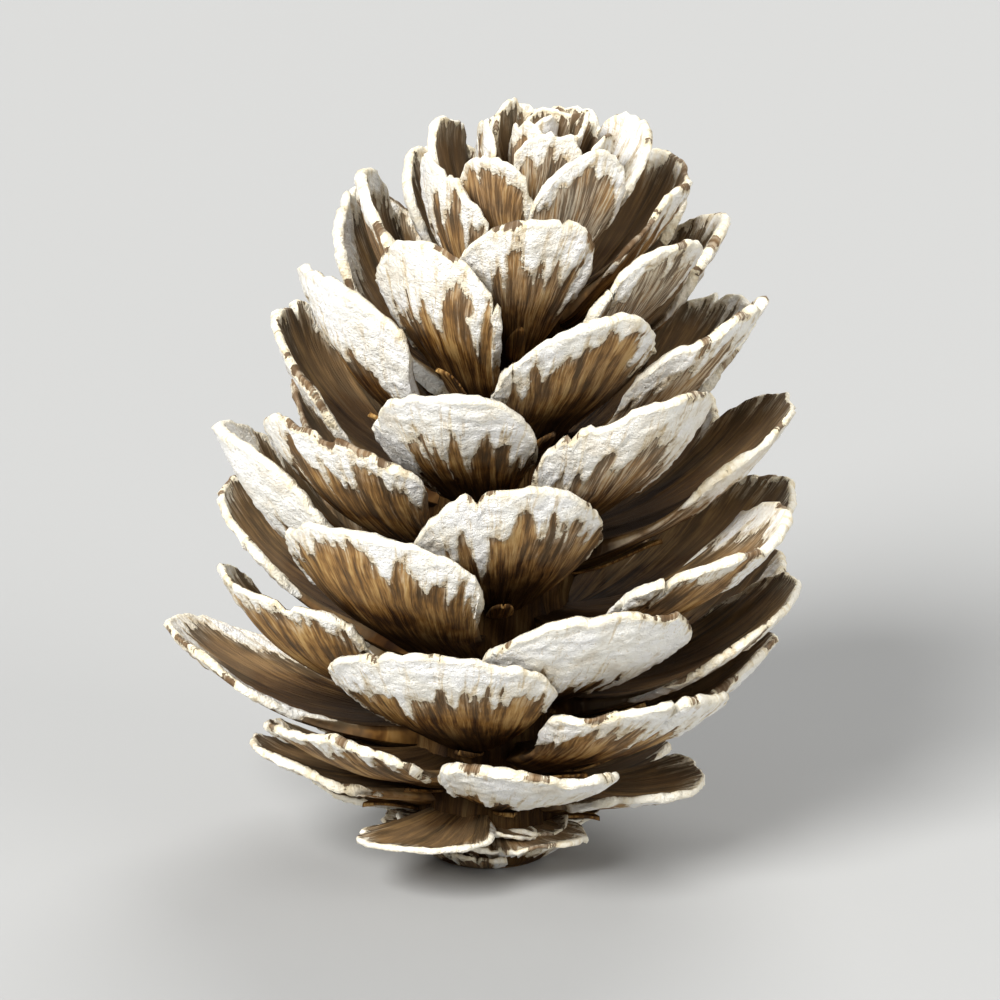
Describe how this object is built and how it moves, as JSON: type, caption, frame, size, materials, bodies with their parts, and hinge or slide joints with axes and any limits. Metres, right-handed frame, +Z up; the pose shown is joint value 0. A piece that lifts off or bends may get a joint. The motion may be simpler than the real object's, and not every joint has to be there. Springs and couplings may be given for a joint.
{
  "type": "whitewashed spruce cone",
  "caption": "Small open conifer cone with fanned woody scales in spirals, brushed white along their margins, standing on its stalk scar.",
  "frame": {"origin": "centre of the flat stalk scar that the cone stands on", "axes": "+Z up along the cone's axis from the scar to the tip; the axis bends slightly towards +X near the tip; -Y is the side the picture shows"},
  "size_m": [0.0369, 0.0354, 0.0441],
  "materials": {
    "cone_wood": "matte weathered wood with a crusty white wash on the scale margins"
  },
  "bodies": {
    "root": {"cone": "cone_wood"}
  },
  "joints": []
}
